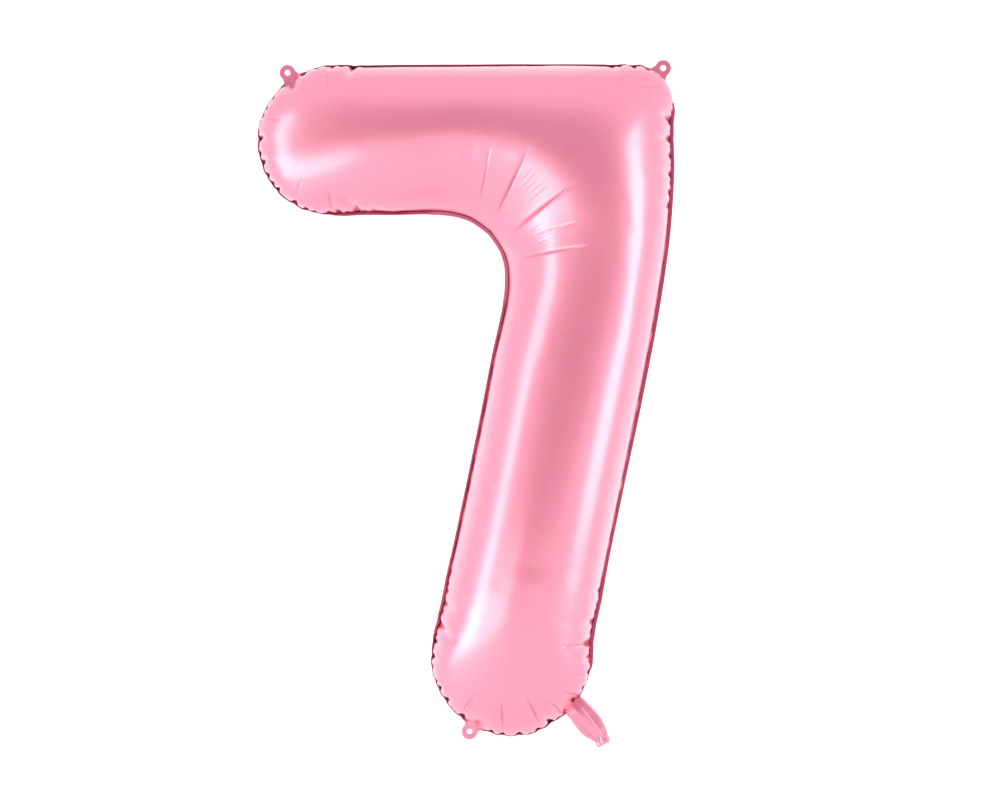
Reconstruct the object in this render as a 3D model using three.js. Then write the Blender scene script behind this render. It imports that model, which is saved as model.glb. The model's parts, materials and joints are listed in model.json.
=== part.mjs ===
// Inflated foil number balloon in the shape of a 7, in millimetres.
// Frame: +X to the right of the number, +Y to its back, +Z up.
// The seam lies in the plane Y = 0, and the origin is midway between the two upper hanging holes.
//
// Two film panels are welded face to face round their rim. Gas swells them into tubes of round
// section, and the welded rim stays as a flat flange. Three hanging tabs and the filling tail stand
// on the flange and bend along their roots. A valve of two thin films starts in the tail and ends
// inside the stem, where the gas presses it shut.

import * as THREE from 'three';
import { mergeVertices } from 'three/addons/utils/BufferGeometryUtils.js';

// ---- driving dimensions -------------------------------------------------------------------
const DEG = Math.PI / 180;

const film = { thick: 0.5, weldGap: 0.3 };
const seamWidth = 5;

// the bar: a tube along X that ends in a half-round cap on the left
const bar = { capX: -162.2, axisZ: -78.6, radius: 85.5 };
bar.top = bar.axisZ + bar.radius;
bar.bottom = bar.axisZ - bar.radius;

// the outer corner at the upper right, and the hollow corner under the bar
const corner = { x: 185.8, radius: 41.3 };
corner.z = bar.top - corner.radius;
const hollow = { x: -41.3, radius: 76.8, endAngle: -10 * DEG };
hollow.z = bar.bottom - hollow.radius;

// the stem: a tube that leans down to the left and ends in a half-round cap
const stemCap = { x: 42.4, z: -670.4, radius: 92.5, axisAngle: 258.7 * DEG };
const rightEdgePull = [[243, -240], [159, -477]];
const leftEdgePull = [[10, -385], [-17, -519]];

// how far the chord's feet have gone along each side when the bar ends and when the stem begins
const barLength = hollow.x - bar.capX;
const cornerRun = { inner: 134, outer: 552 };

// section: tubes are round; over the wide corner the film, which can't stretch, rises little more
const tubeHalf = 86;
const cornerRise = 0.06;

// mesh steps along each stretch, and across one panel
const steps = { cap: 9, bar: 5, corner: 26, stem: 18 };
const stepsAcross = 16;

// hanging tabs: a flared root, and a ring round the hole
const tab = { thick: 1.3, root: 1, rootHalf: 12, holeOut: 7.2, holeRadius: 3.2, ringRadius: 9.2 };
const tabAngles = { tab_upper_left: 124.5 * DEG, tab_upper_right: 51 * DEG, tab_lower: 241 * DEG };

// filling tail and valve
const tail = { angle: -40 * DEG, root: 1, thick: 0.4, valveThick: 0.3, gap: 0.3 };
const valve = { start: -7, length: 95, half: 12, endRadius: 4 };

// ---- finishes -----------------------------------------------------------------------------
function foil() {
  return new THREE.MeshStandardMaterial({ color: 0xf6a9c4, roughness: 0.24, metalness: 0.45 });
}

function valveFilm() {
  return new THREE.MeshStandardMaterial({ color: 0xe9dfe4, roughness: 0.4, metalness: 0 });
}

// ---- outline ------------------------------------------------------------------------------
// The outline is two rails, both from the tip of the bar's cap to the tip of the stem's cap: the
// outer one over the top and down the right side, the inner one under the bar and down the left.
function onCircle(circle, angle, distance = circle.radius) {
  return [circle.x + distance * Math.cos(angle), circle.z + distance * Math.sin(angle)];
}

function arc(circle, from, to) {
  const path = new THREE.Path();
  path.absarc(circle.x, circle.z, circle.radius, from, to, to < from);
  return path;
}

const barCap = { x: bar.capX, z: bar.axisZ, radius: bar.radius };
const stemRight = onCircle(stemCap, stemCap.axisAngle + 90 * DEG);
const stemLeft = onCircle(stemCap, stemCap.axisAngle - 90 * DEG);

const outerEdge = new THREE.Path();
outerEdge.moveTo(bar.capX, bar.top);
outerEdge.lineTo(corner.x, bar.top);
outerEdge.absarc(corner.x, corner.z, corner.radius, 90 * DEG, 0, true);
outerEdge.bezierCurveTo(...rightEdgePull.flat(), ...stemRight);

const innerEdge = new THREE.Path();
innerEdge.moveTo(bar.capX, bar.bottom);
innerEdge.lineTo(hollow.x, bar.bottom);
innerEdge.absarc(hollow.x, hollow.z, hollow.radius, 90 * DEG, hollow.endAngle, true);
innerEdge.bezierCurveTo(...leftEdgePull.flat(), ...stemLeft);

const rails = [
  {
    inward: -1,
    edge: outerEdge,
    cornerRun: cornerRun.outer,
    caps: [
      arc(barCap, 180 * DEG, 90 * DEG),
      arc(stemCap, stemCap.axisAngle + 90 * DEG, stemCap.axisAngle),
    ],
  },
  {
    inward: 1,
    edge: innerEdge,
    cornerRun: cornerRun.inner,
    caps: [
      arc(barCap, 180 * DEG, 270 * DEG),
      arc(stemCap, stemCap.axisAngle - 90 * DEG, stemCap.axisAngle),
    ],
  },
];

// The stations of one rail: a path and the place on it, from the bar's tip to the stem's tip.
function stations(rail) {
  const total = rail.edge.getLength();
  const marks = [0, barLength, barLength + rail.cornerRun, total].map((mm) => mm / total);
  const stretches = [
    { path: rail.caps[0], from: 0, to: 1, count: steps.cap },
    { path: rail.edge, from: marks[0], to: marks[1], count: steps.bar },
    { path: rail.edge, from: marks[1], to: marks[2], count: steps.corner },
    { path: rail.edge, from: marks[2], to: marks[3], count: steps.stem },
    { path: rail.caps[1], from: 0, to: 1, count: steps.cap },
  ];
  const places = [{ path: rail.caps[0], at: 0 }];
  for (const { path, from, to, count } of stretches) {
    for (let i = 1; i <= count; i += 1) {
      places.push({ path, at: from + ((to - from) * i) / count });
    }
  }
  return places;
}

// Both rails moved inward by a distance, as one point for each station. They meet at the two tips.
function railPoints(inset) {
  const sides = rails.map((rail) => stations(rail).map(({ path, at }) => {
    const point = path.getPointAt(at);
    const along = path.getTangentAt(at);
    const inward = new THREE.Vector2(-along.y, along.x).multiplyScalar(rail.inward);
    return point.addScaledVector(inward, inset);
  }));
  for (const tip of [0, sides[0].length - 1]) {
    const meeting = sides[0][tip].clone().add(sides[1][tip]).multiplyScalar(0.5);
    sides[0][tip] = meeting;
    sides[1][tip] = meeting;
  }
  return sides;
}

// ---- film panels --------------------------------------------------------------------------
function rise(half) {
  return Math.min(half, tubeHalf) + cornerRise * Math.max(half - tubeHalf, 0);
}

// One face of a panel as rows of points, one row for each station, from rim to rim over the dome.
function panelFace(side, height, domeInset) {
  const rims = railPoints(0);
  const feet = railPoints(domeInset);
  return rims[0].map((rimOuter, i) => {
    const middle = feet[0][i].clone().add(feet[1][i]).multiplyScalar(0.5);
    const arm = feet[0][i].clone().sub(middle);
    const top = rise(arm.length());
    const row = [[rimOuter.x, side * height, rimOuter.y]];
    for (let j = 0; j <= stepsAcross; j += 1) {
      const turn = (Math.PI * j) / stepsAcross;
      const place = middle.clone().addScaledVector(arm, Math.cos(turn));
      const lift = j === 0 || j === stepsAcross ? 0 : top * Math.sin(turn);
      row.push([place.x, side * (height + lift), place.y]);
    }
    const rimInner = rims[1][i];
    row.push([rimInner.x, side * height, rimInner.y]);
    return row;
  });
}

// A closed shell between an outside and an inside face; triangles that shrink to nothing go.
function shell(outside, inside, flip) {
  const corners = [];
  const same = (a, b) => a.every((value, axis) => Math.abs(value - b[axis]) < 1e-6);
  const triangle = (a, b, c) => {
    if (same(a, b) || same(b, c) || same(c, a)) return;
    corners.push(...(flip ? [a, c, b] : [a, b, c]).flat());
  };
  const quad = (a, b, c, d) => {
    triangle(a, b, c);
    triangle(a, c, d);
  };
  const last = outside[0].length - 1;
  for (let i = 0; i + 1 < outside.length; i += 1) {
    for (let j = 0; j < last; j += 1) {
      quad(outside[i][j], outside[i][j + 1], outside[i + 1][j + 1], outside[i + 1][j]);
      quad(inside[i][j], inside[i + 1][j], inside[i + 1][j + 1], inside[i][j + 1]);
    }
    quad(outside[i][0], outside[i + 1][0], inside[i + 1][0], inside[i][0]);
    quad(outside[i + 1][last], outside[i][last], inside[i][last], inside[i + 1][last]);
  }
  const geometry = new THREE.BufferGeometry();
  geometry.setAttribute('position', new THREE.Float32BufferAttribute(corners, 3));
  const welded = mergeVertices(geometry, 1e-4);
  welded.computeVertexNormals();
  return welded;
}

// side is -1 for the front panel and +1 for the back one
function panel(side) {
  const inner = film.weldGap / 2;
  const outside = panelFace(side, inner + film.thick, seamWidth);
  const inside = panelFace(side, inner, seamWidth + film.thick);
  return shell(outside, inside, side > 0);
}

// ---- flat sheets of film ------------------------------------------------------------------
// A shape drawn with x pointing away from the body, laid in the plane of the seam.
function sheet(shape, thick, middleY, curveSegments = 10) {
  const geometry = new THREE.ExtrudeGeometry(shape, { depth: thick, bevelEnabled: false, curveSegments });
  geometry.rotateX(Math.PI / 2);
  geometry.translate(0, middleY + thick / 2, 0);
  return geometry;
}

function tabShape() {
  const joinAngle = 110 * DEG;
  const joinX = tab.holeOut + tab.ringRadius * Math.cos(joinAngle);
  const joinZ = tab.ringRadius * Math.sin(joinAngle);
  const shape = new THREE.Shape();
  shape.moveTo(tab.root, -tab.rootHalf);
  shape.quadraticCurveTo(tab.root + 1.2, -tab.ringRadius, joinX, -joinZ);
  shape.absarc(tab.holeOut, 0, tab.ringRadius, -joinAngle, joinAngle, false);
  shape.quadraticCurveTo(tab.root + 1.2, tab.ringRadius, tab.root, tab.rootHalf);
  const hole = new THREE.Path();
  hole.absarc(tab.holeOut, 0, tab.holeRadius, 0, 360 * DEG, true);
  shape.holes.push(hole);
  return shape;
}

// The tail narrows as it curls down, and ends in a small wide bead.
function tailShape() {
  const shape = new THREE.Shape();
  shape.moveTo(tail.root, -11);
  shape.bezierCurveTo(12, -14, 24, -18.5, 33, -17);
  shape.quadraticCurveTo(40, -15.5, 46, -14.5);
  shape.absarc(50, -12, 5, 215 * DEG, 300 * DEG, false);
  shape.absarc(51.8, -4, 5, 0, 110 * DEG, false);
  shape.quadraticCurveTo(47, 5, 33, 10.8);
  shape.bezierCurveTo(24, 14.2, 12, 14.5, tail.root, 15);
  return shape;
}

// The valve's outer part fills the middle of the tail, from its root to its open end.
function valveMouthShape() {
  const shape = new THREE.Shape();
  shape.moveTo(tail.root, -6.5);
  shape.quadraticCurveTo(28, -12, 49, -12);
  shape.lineTo(51, -4);
  shape.quadraticCurveTo(28, 7, tail.root, 9);
  return shape;
}

// The valve's inner part is a flat sleeve with a rounded end.
function valveSleeveShape() {
  const end = valve.start - valve.length;
  const shape = new THREE.Shape();
  shape.moveTo(valve.start, -valve.half);
  shape.lineTo(valve.start, valve.half);
  shape.lineTo(end + valve.endRadius, valve.half);
  shape.absarc(end + valve.endRadius, valve.half - valve.endRadius, valve.endRadius, 90 * DEG, 180 * DEG, false);
  shape.absarc(end + valve.endRadius, valve.endRadius - valve.half, valve.endRadius, 180 * DEG, 270 * DEG, false);
  return shape;
}

// ---- assembly -----------------------------------------------------------------------------
const balloon = new THREE.Group();

function add(name, geometry, material, group = balloon) {
  const mesh = new THREE.Mesh(geometry, material);
  mesh.name = name;
  group.add(mesh);
}

// A group whose x axis points out of the outline at a place on one of its circles.
function outwardGroup(circle, angle) {
  const [x, z] = onCircle(circle, angle);
  const group = new THREE.Group();
  group.position.set(x, 0, z);
  group.rotation.y = -angle;
  balloon.add(group);
  return group;
}

add('front_panel', panel(-1), foil());
add('back_panel', panel(1), foil());

const tabCircles = { tab_upper_left: barCap, tab_upper_right: corner, tab_lower: stemCap };
for (const [name, angle] of Object.entries(tabAngles)) {
  add(name, sheet(tabShape(), tab.thick, 0), foil(), outwardGroup(tabCircles[name], angle));
}

const neck = outwardGroup(stemCap, tail.angle);
const valveY = (tail.gap + tail.valveThick) / 2;
const tailY = valveY + tail.valveThick / 2 + tail.gap + tail.thick / 2;
for (const [face, side] of [['front', -1], ['back', 1]]) {
  add(`tail_${face}_film`, sheet(tailShape(), tail.thick, side * tailY), foil(), neck);
  add(`valve_mouth_${face}_film`, sheet(valveMouthShape(), tail.valveThick, side * valveY), valveFilm(), neck);
  add(`valve_sleeve_${face}_film`, sheet(valveSleeveShape(), tail.valveThick, side * valveY), valveFilm(), neck);
}

// the origin goes midway between the two upper hanging holes
const upperHoles = ['tab_upper_left', 'tab_upper_right'].map((name) => {
  const circle = tabCircles[name];
  return onCircle(circle, tabAngles[name], circle.radius + tab.holeOut);
});
balloon.position.set(
  -(upperHoles[0][0] + upperHoles[1][0]) / 2,
  0,
  -(upperHoles[0][1] + upperHoles[1][1]) / 2,
);

export default balloon;
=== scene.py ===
import json
import math

import bmesh
import bpy
import numpy as np
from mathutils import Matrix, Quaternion, Vector
from mathutils.geometry import delaunay_2d_cdt


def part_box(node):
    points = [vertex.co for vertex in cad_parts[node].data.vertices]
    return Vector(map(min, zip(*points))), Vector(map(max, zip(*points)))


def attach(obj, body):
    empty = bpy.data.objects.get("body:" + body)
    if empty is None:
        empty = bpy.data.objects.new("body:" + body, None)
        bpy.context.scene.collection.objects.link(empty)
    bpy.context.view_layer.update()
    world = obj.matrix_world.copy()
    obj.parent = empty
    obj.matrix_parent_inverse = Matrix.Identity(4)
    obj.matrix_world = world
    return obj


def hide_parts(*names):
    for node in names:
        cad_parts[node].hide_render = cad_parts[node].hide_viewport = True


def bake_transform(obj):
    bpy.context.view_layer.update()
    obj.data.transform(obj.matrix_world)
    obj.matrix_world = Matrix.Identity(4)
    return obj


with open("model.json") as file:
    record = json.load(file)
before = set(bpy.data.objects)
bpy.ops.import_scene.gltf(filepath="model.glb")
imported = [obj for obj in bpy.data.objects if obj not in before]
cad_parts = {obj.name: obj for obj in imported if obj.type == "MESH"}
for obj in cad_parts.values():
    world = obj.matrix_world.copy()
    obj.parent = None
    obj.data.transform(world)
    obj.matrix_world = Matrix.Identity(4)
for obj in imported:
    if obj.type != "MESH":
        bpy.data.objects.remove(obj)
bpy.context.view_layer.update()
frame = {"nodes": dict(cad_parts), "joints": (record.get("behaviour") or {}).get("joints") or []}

# Foil number balloon "7". Units are metres, in the CAD model's frame: the seam lies in the plane
# y = 0, -y is the front, and the origin is midway between the two upper hanging holes.
#
# The two film panels are inflated here by a small cloth solver: a flat pattern of film that can't
# stretch is blown up, and the pattern is recut until the swollen seam follows the CAD outline.

MM = 0.001

# ---- driving sizes ---------------------------------------
SEAM_WIDTH = 5.0 * MM
FILM_THICK = 0.3 * MM
LAYER_GAP = 0.12 * MM  # from the seam's plane to each film of the welded rim

# centres of the outline's roundings, as (x, z)
HOLLOW_CENTRE = np.array([-42.1, -245.9]) * MM  # in the crook of the 7
FOOT_CENTRE = np.array([41.4, -667.0]) * MM  # the stem's round end
ARM_CENTRE = np.array([-160.5, -81.5]) * MM  # the bar's round end
SHOULDER_CENTRE = np.array([184.9, -34.9]) * MM  # the upper right corner


# ---- small helpers ---------------------------------------
def closed_length(loop):
    """Distance along a closed loop at each of its points, and back at the first one."""
    steps = np.linalg.norm(np.roll(loop, -1, axis=0) - loop, axis=1)
    return np.concatenate([[0.0], np.cumsum(steps)])


def even_loop(loop, count):
    """The same closed loop with count points, evenly spaced."""
    along = closed_length(loop)
    at = np.arange(count) * along[-1] / count
    again = np.vstack([loop, loop[:1]])
    return np.stack([np.interp(at, along, again[:, k]) for k in range(loop.shape[1])], axis=1)


def smooth_loop(values, reach):
    """A running mean along a closed loop, over reach points to each side."""
    weights = np.hanning(2 * reach + 3)[1:-1]
    weights /= weights.sum()
    padded = np.concatenate([values[-reach:], values, values[:reach]])
    columns = [np.convolve(padded[:, k], weights, "valid") for k in range(values.shape[1])]
    return np.stack(columns, axis=1)


def outward(loop):
    """Unit vectors that point out of a closed loop of (x, z) points that runs clockwise."""
    along = np.roll(loop, -1, axis=0) - np.roll(loop, 1, axis=0)
    along /= np.linalg.norm(along, axis=1)[:, None]
    return np.stack([-along[:, 1], along[:, 0]], axis=1)


def nearest_on(loop, points):
    """For each point, which point of a loop is nearest."""
    return ((points[:, None, :] - loop[None]) ** 2).sum(axis=2).argmin(axis=1)


def smoothstep(low, high, value):
    """A smooth rise from 0 at low to 1 at high; low may be above high."""
    t = np.clip((value - low) / (high - low), 0.0, 1.0)
    return t * t * (3.0 - 2.0 * t)


def in_frame(spot):
    """An (x, z) place in the seam's plane, as a point of the frame."""
    return (float(spot[0]), 0.0, float(spot[1]))


def twice_areas(flat, triangles):
    """Twice the area of each flat triangle, negative where its corners run the other way round."""
    a, b, c = (flat[triangles[:, k]] for k in range(3))
    return (b[:, 0] - a[:, 0]) * (c[:, 1] - a[:, 1]) - (b[:, 1] - a[:, 1]) * (c[:, 0] - a[:, 0])


def area_normals(points, triangles):
    """At each point, the sum of the normals round it, each as long as twice its triangle's area."""
    corners = points[triangles]
    area = np.cross(corners[:, 1] - corners[:, 0], corners[:, 2] - corners[:, 0])
    return np.stack([sum(np.bincount(triangles[:, c], area[:, k], len(points)) for c in range(3))
                     for k in range(3)], axis=1)


def normals_of(points, triangles):
    """Unit normals at the points of a surface."""
    total = area_normals(points, triangles)
    return total / np.maximum(np.linalg.norm(total, axis=1), 1e-12)[:, None]


def new_object(name, points, faces):
    """A smooth mesh object in the scene."""
    mesh = bpy.data.meshes.new(name)
    mesh.from_pydata([tuple(p) for p in points], [], [tuple(f) for f in faces])
    mesh.validate()
    mesh.shade_smooth()
    piece = bpy.data.objects.new(name, mesh)
    bpy.context.scene.collection.objects.link(piece)
    return piece


def point_attribute(piece, name, values):
    """A number at each point of a mesh, for its material to read."""
    attribute = piece.data.attributes.new(name, "FLOAT", "POINT")
    attribute.data.foreach_set("value", np.asarray(values, np.float32))


# ---- the seam's outline, from the CAD panel --------------
OUTLINE_STEP = 2.0 * MM
CAD_RIM_DEPTH = 0.6 * MM  # the CAD rim's edge reaches no further from the seam than this
ON_SEAM = 0.02 * MM  # points this close to the seam's side lie on it
ON_EDGE = 0.3  # a face that stands on edge has a smaller y in its normal


def rim_loop(panel):
    """The rim of a CAD panel, as a clockwise loop of (x, z) points seen from the front."""
    mesh = panel.data
    points = np.array([v.co for v in mesh.vertices])
    seam_side = points[:, 1].max()
    neighbours = {}
    for face in mesh.polygons:
        ys = points[list(face.vertices), 1]
        if abs(face.normal.y) > ON_EDGE or ys.min() < seam_side - CAD_RIM_DEPTH:
            continue
        for a, b in face.edge_keys:
            if min(points[a, 1], points[b, 1]) < seam_side - ON_SEAM:
                continue
            keys = [tuple(np.round(points[k][[0, 2]], 6)) for k in (a, b)]
            if keys[0] != keys[1]:
                neighbours.setdefault(keys[0], set()).add(keys[1])
                neighbours.setdefault(keys[1], set()).add(keys[0])
    start = min(neighbours)
    walk = [start, max(neighbours[start], key=lambda p: p[1])]
    while True:
        ahead = [p for p in neighbours[walk[-1]] if p != walk[-2]]
        if not ahead or ahead[0] == start:
            return np.array(walk)
        walk.append(ahead[0])


def rounded_loop(loop, step):
    """A smooth curve through a coarse closed loop, sampled about every step."""
    before, after, last = np.roll(loop, 1, 0), np.roll(loop, -1, 0), np.roll(loop, -2, 0)
    t = np.linspace(0.0, 1.0, 12, endpoint=False)[None, :, None]
    a, b, c, d = (p[:, None, :] for p in (before, loop, after, last))
    curve = 0.5 * (2 * b + (c - a) * t + (2 * a - 5 * b + 4 * c - d) * t**2
                   + (3 * b - a - 3 * c + d) * t**3)
    curve = curve.reshape(-1, 2)
    return even_loop(curve, int(closed_length(curve)[-1] / step))


# ---- film: a flat pattern, inflated ----------------------
COARSE = 12.0 * MM  # first triangles; each refinement halves them
JITTER = 0.12  # shares of a triangle's side: how far the points stray
RIM_CLEARANCE = 0.72  # and how far they stay from the seam
TUBE_SPREAD = 47.0 * MM  # how much further out the flat seam lies than the swollen one
COMPRESSION = 0.3  # film pushed together resists this share as much as when pulled
BENDING = 0.05  # and film bent resists this share
KEPT_SPEED = 0.97
OVER_RELAXATION = 1.4
RIM_STIFFNESS = (0.05, 0.07, 0.1)  # at each level of refinement
FILLING = (  # steps and pressures at each level of refinement
    ((250, 4e-4), (400, 1e-4)),
    ((400, 5e-5),),
    ((300, 3e-5),),
)
RECUTS = (0, 0, 0, 0, 1, 1, 1, 2)  # the level at which each pattern is blown up
RECUT_REACH = 6  # points of the pattern that a correction is averaged over


def inside(points, loop):
    """Which points lie inside a closed loop."""
    found = np.zeros(len(points), bool)
    for a, b in zip(loop, np.roll(loop, -1, axis=0)):
        if a[1] == b[1]:
            continue
        crosses = (a[1] > points[:, 1]) != (b[1] > points[:, 1])
        at = (b[0] - a[0]) * (points[:, 1] - a[1]) / (b[1] - a[1]) + a[0]
        found ^= crosses & (points[:, 0] < at)
    return found


def cut_film(loop, spacing, seed):
    """Triangles of about one size over a flat pattern. The loop's points come first."""
    random = np.random.default_rng(seed)
    low, high = loop.min(axis=0), loop.max(axis=0)
    rows = np.arange(low[1], high[1], spacing * math.sqrt(3) / 2)
    columns = np.arange(low[0], high[0], spacing)
    x, z = np.meshgrid(columns, rows)
    x = x + (np.arange(len(rows)) % 2)[:, None] * spacing / 2
    grid = np.stack([x.ravel(), z.ravel()], axis=1)
    grid += random.uniform(-JITTER, JITTER, grid.shape) * spacing
    grid = grid[inside(grid, loop)]
    nearest = np.full(len(grid), np.inf)
    for point in loop:
        nearest = np.minimum(nearest, ((grid - point) ** 2).sum(axis=1))
    grid = grid[nearest > (RIM_CLEARANCE * spacing) ** 2]
    flat = np.vstack([loop, grid])
    # the triangulation works in millimetres, well above its tolerance
    scaled = [Vector((float(x), float(z))) for x, z in flat / MM]
    rim = [(k, (k + 1) % len(loop)) for k in range(len(loop))]
    triangles = np.array(delaunay_2d_cdt(scaled, rim, [], 1, 1e-5, False)[2])
    triangles = triangles[inside(flat[triangles].mean(axis=1), loop)]
    # all triangles run the same way round, so that their normals point to the front
    turned = twice_areas(flat, triangles) > 0
    return flat, np.where(turned[:, None], triangles, triangles[:, ::-1])


def film_edges(triangles):
    """The edges of a mesh, and for each inner edge the two corners that face each other over it."""
    pairs = np.vstack([triangles[:, [0, 1]], triangles[:, [1, 2]], triangles[:, [2, 0]]])
    facing = np.concatenate([triangles[:, 2], triangles[:, 0], triangles[:, 1]])
    pairs = np.sort(pairs, axis=1)
    order = np.lexsort((pairs[:, 1], pairs[:, 0]))
    pairs, facing = pairs[order], facing[order]
    first = np.ones(len(pairs), bool)
    first[1:] = (pairs[1:] != pairs[:-1]).any(axis=1)
    start = np.flatnonzero(first)
    shared = np.diff(np.append(start, len(pairs))) == 2
    across = np.stack([facing[start[shared]], facing[start[shared] + 1]], axis=1)
    return pairs[first], across


def edge_finder(edges, count):
    """A function that gives the number of the edge between two of count points."""
    key = edges[:, 0] * count + edges[:, 1]
    return lambda a, b: np.searchsorted(key, np.minimum(a, b) * count + np.maximum(a, b))


def refine(flat, triangles, rim_count, place):
    """Each triangle cut in four, with the rim's points still first and in order."""
    edges, _ = film_edges(triangles)
    count = len(flat)
    edge_of = edge_finder(edges, count)
    a, b, c = triangles.T
    ab, bc, ca = count + edge_of(a, b), count + edge_of(b, c), count + edge_of(c, a)
    parts = [(a, ab, ca), (ab, b, bc), (ca, bc, c), (ab, bc, ca)]
    smaller = np.vstack([np.stack(part, axis=1) for part in parts])
    rim = np.arange(rim_count)
    order = np.empty(2 * rim_count, int)
    order[0::2] = rim
    order[1::2] = count + edge_of(rim, (rim + 1) % rim_count)
    everything = np.vstack([flat, flat[edges].mean(axis=1)])
    order = np.concatenate([order, np.setdiff1d(np.arange(len(everything)), order)])
    renamed = np.empty_like(order)
    renamed[order] = np.arange(len(order))
    moved = np.vstack([place, place[edges].mean(axis=1)])
    return everything[order], renamed[smaller], 2 * rim_count, moved[order]


def inflate(flat, triangles, rim_count, place, steps, pressure, rim_stiffness):
    """Steps of a pressed film that can't stretch, with its rim held in the seam's plane."""
    edges, across = film_edges(triangles)
    count = len(flat)
    spacing = np.median(np.linalg.norm(flat[edges[:, 0]] - flat[edges[:, 1]], axis=1))
    springs = []
    for pairs, weak, strong in ((edges, COMPRESSION, 1.0), (across, BENDING, BENDING)):
        rest = np.linalg.norm(flat[pairs[:, 0]] - flat[pairs[:, 1]], axis=1)
        springs.append((pairs[:, 0], pairs[:, 1], rest, weak, strong))
    share = (OVER_RELAXATION / np.bincount(edges.ravel(), minlength=count))[:, None]
    rim = np.arange(rim_count)
    ahead, behind = np.roll(rim, -1), np.roll(rim, 1)
    last = place.copy()
    for _ in range(steps):
        speed = (place - last) * KEPT_SPEED
        last = place.copy()
        place = place + speed + area_normals(place, triangles) * (pressure / spacing)
        shift = np.zeros_like(place)
        for a, b, rest, weak, strong in springs:
            reach = place[b] - place[a]
            length = np.sqrt((reach * reach).sum(axis=1))
            strain = (length - rest) / np.maximum(length, 1e-9)
            pull = reach * (0.5 * strain * np.where(strain > 0, strong, weak))[:, None]
            for k in range(3):
                shift[:, k] += (np.bincount(a, pull[:, k], count)
                                - np.bincount(b, pull[:, k], count))
        place = place + shift * share
        place[:rim_count] += rim_stiffness * ((place[ahead] + place[behind]) / 2 - place[rim])
        place[:rim_count, 1] = 0.0
    return place


def lay_on(points, goal):
    """The turn and shift in the plane that lay points on a loop, as a function of (x, z) points."""
    moved = points
    turn_all, shift_all = np.eye(2), np.zeros(2)
    for _ in range(5):
        near = goal[nearest_on(goal, moved)]
        from_middle, to_middle = moved.mean(axis=0), near.mean(axis=0)
        a, b = moved - from_middle, near - to_middle
        angle = math.atan2((a[:, 0] * b[:, 1] - a[:, 1] * b[:, 0]).sum(), (a * b).sum())
        cos, sin = math.cos(angle), math.sin(angle)
        turn = np.array([[cos, -sin], [sin, cos]])
        moved = a @ turn.T + to_middle
        turn_all = turn @ turn_all
        shift_all = turn @ (shift_all - from_middle) + to_middle
    return lambda p: p @ turn_all.T + shift_all


def blow_up(loop, levels, seed=7):
    """A pattern cut to loop, inflated, and refined level by level."""
    flat, triangles = cut_film(loop, COARSE, seed)
    rim_count = len(loop)
    place = np.insert(flat, 1, -0.5 * MM, axis=1)
    place[:rim_count, 1] = 0.0
    for level, stages in enumerate(FILLING[:levels + 1]):
        if level:
            flat, triangles, rim_count, place = refine(flat, triangles, rim_count, place)
        for steps, pressure in stages:
            place = inflate(flat, triangles, rim_count, place, steps, pressure,
                            RIM_STIFFNESS[level])
    return flat, triangles, rim_count, place


def make_panel_film(goal):
    """The inflated front film, with its seam laid on the goal loop."""
    loop = goal + outward(goal) * TUBE_SPREAD
    for levels in RECUTS:
        loop = even_loop(loop, int(closed_length(loop)[-1] / COARSE))
        flat, triangles, rim_count, place = blow_up(loop, levels)
        to_frame = lay_on(place[:rim_count, [0, 2]], goal)
        seam = to_frame(place[:rim_count, [0, 2]])
        miss = goal[nearest_on(goal, seam)] - seam
        print(f"level {levels}: seam off by {np.sqrt((miss ** 2).sum(1).mean()) / MM:.2f} mm")
        step = len(miss) // len(loop)
        loop = loop + smooth_loop(miss, RECUT_REACH * step)[::step]
    place[:, [0, 2]] = to_frame(place[:, [0, 2]])
    return flat, triangles, rim_count, place


# ---- welded rim ------------------------------------------
RIM_ROWS = 4
CAP_LEAN = math.radians(62)  # forward out of the seam's plane, where the outline turns outward
TOP_LEAN = math.radians(66)
SIDE_LEAN = math.radians(34)
RIGHT_LEAN = math.radians(18)
INNER_LEAN = math.radians(6)
CORNER_LEAN = math.radians(26)
FACING = (0.5, 0.95)  # how squarely the rim faces up or right for that side's lean
CAP_TURNING = (3.0, 9.0)  # how sharply the outline turns, in 1/m, for the leans of the caps,
CORNER_TURNING = (13.0, 18.0)  # of the tight corners,
INNER_TURNING = (-1.0, -6.0)  # and of the crook
OUTLINE_REACH = 24.0 * MM  # averages along the outline: of its course,
TURNING_REACH = 20.0 * MM  # of how it turns,
LEAN_REACH = 6.0 * MM  # and of the lean
FLAT_NEAR_TAB = (8.0 * MM, 17.0 * MM)  # from a hinge, where the rim lies flat and where it leans


def reach_in(loop, distance):
    """How many points of a closed loop a distance covers."""
    return max(1, round(distance / (closed_length(loop)[-1] / len(loop))))


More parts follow.
